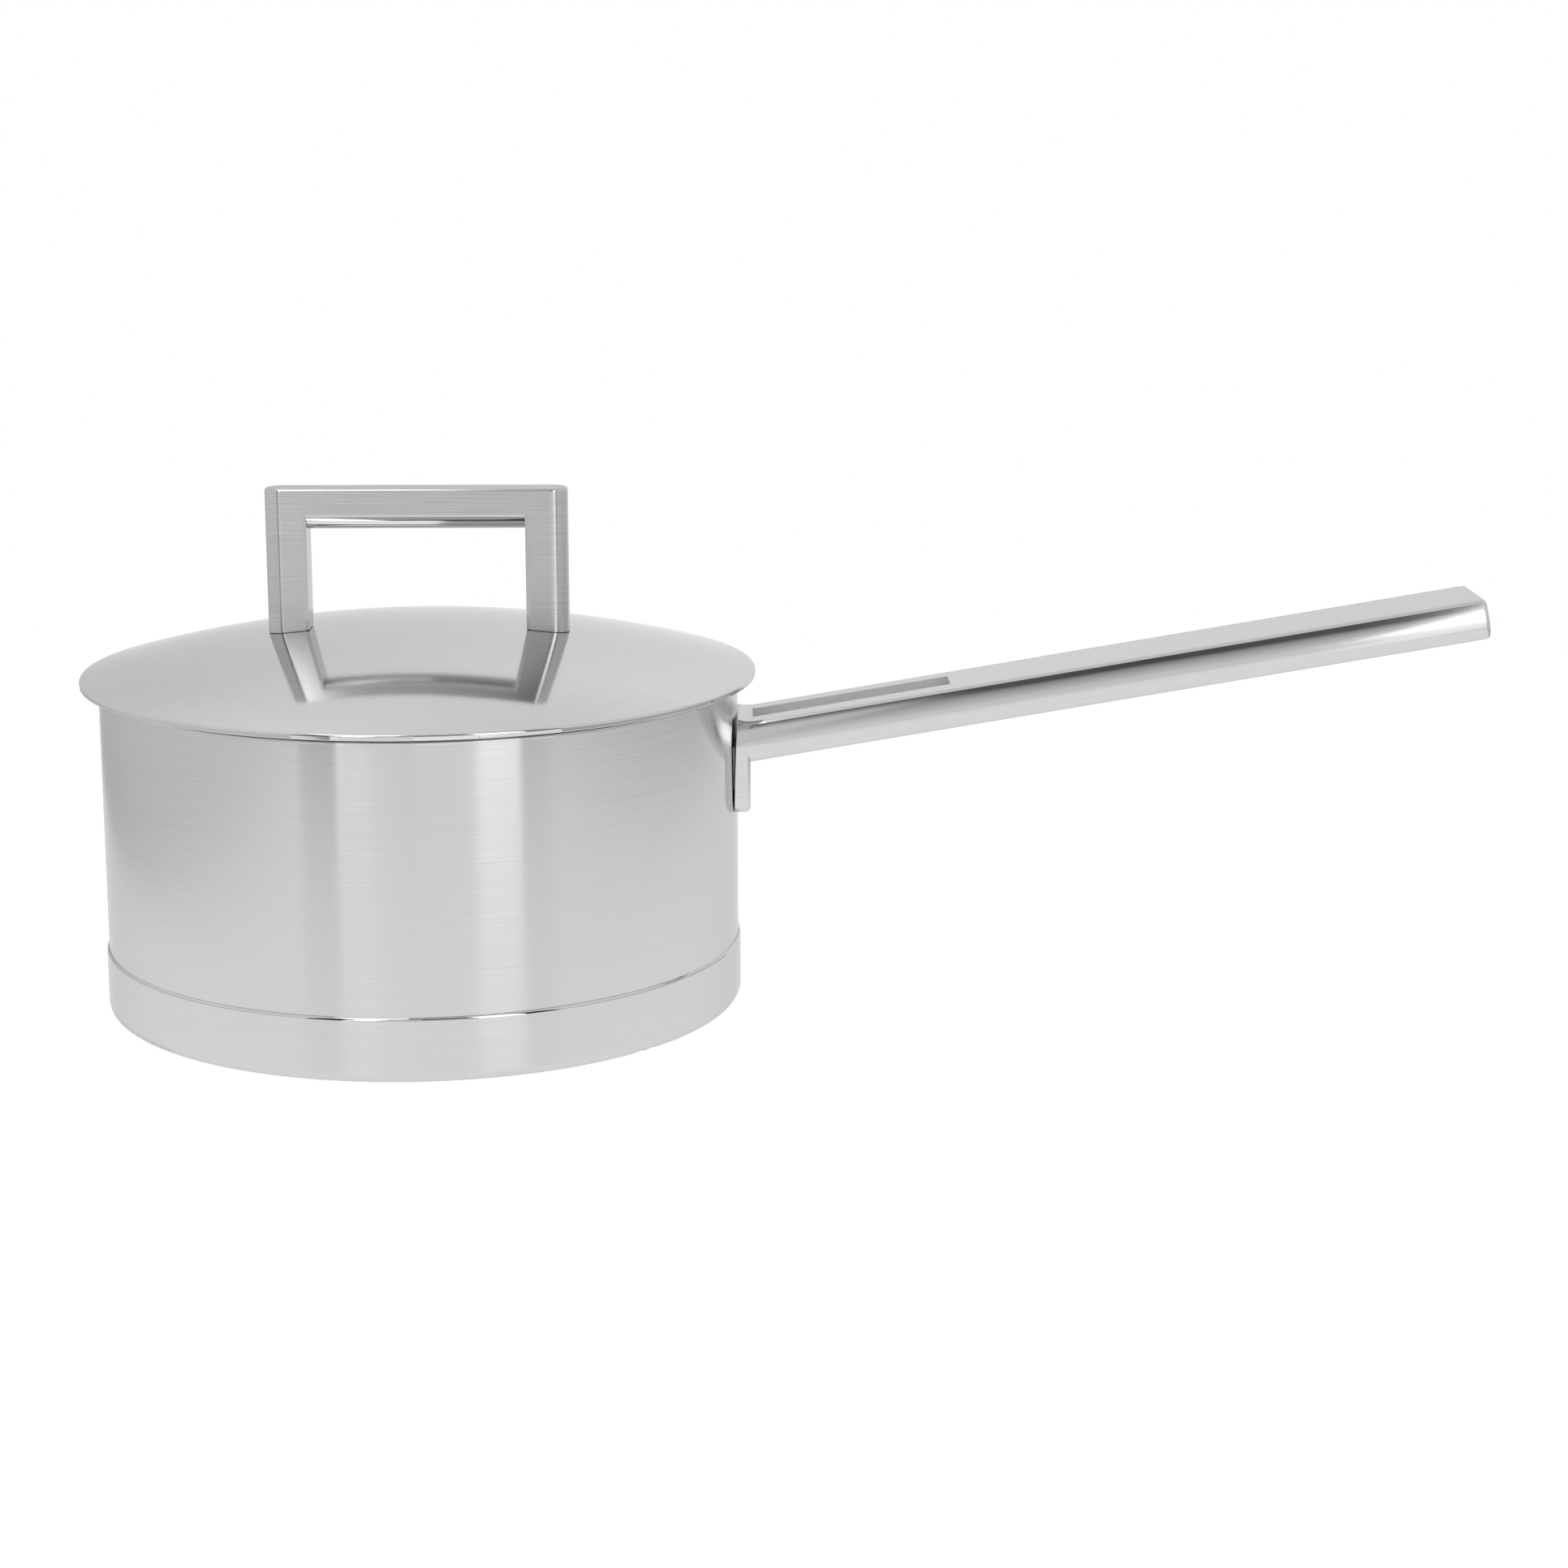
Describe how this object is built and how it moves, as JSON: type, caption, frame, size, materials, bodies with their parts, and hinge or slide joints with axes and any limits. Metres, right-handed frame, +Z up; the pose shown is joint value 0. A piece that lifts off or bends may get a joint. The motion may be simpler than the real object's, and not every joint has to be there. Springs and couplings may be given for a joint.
{
  "type": "saucepan with lid",
  "caption": "Straight-sided stainless steel saucepan with a capped thick base, a long slotted bar handle and a domed lid that lifts off by its rectangular loop handle.",
  "frame": {"origin": "centre of the base's flat underside", "axes": "+Z up through the pot's axis, +X from the pot's axis along the long handle, +Y to the left of someone who looks along the handle from the pot"},
  "size_m": [0.4035, 0.1934, 0.149],
  "materials": {
    "vessel_steel": "satin, brushed round the pot, with a polished rim",
    "core_aluminium": "bare, sealed in",
    "cap_steel": "satin, with a polished shoulder",
    "handle_steel": "fine satin",
    "lid_steel": "satin, with a polished edge",
    "inner_steel": "polished satin",
    "loop_steel": "brushed along the loop, polished under the bar"
  },
  "bodies": {
    "pan": {"vessel": "vessel_steel", "base_core": "core_aluminium", "base_cap": "cap_steel", "long_handle": "handle_steel"},
    "lid": {"lid_outer_shell": "lid_steel", "lid_inner_shell": "inner_steel", "lid_handle": "loop_steel"}
  },
  "joints": [
    {"name": "lid_lift", "type": "slide", "parent": "pan", "child": "lid", "axis": [0, 0, 1], "range_m": [0, 0.12]}
  ]
}
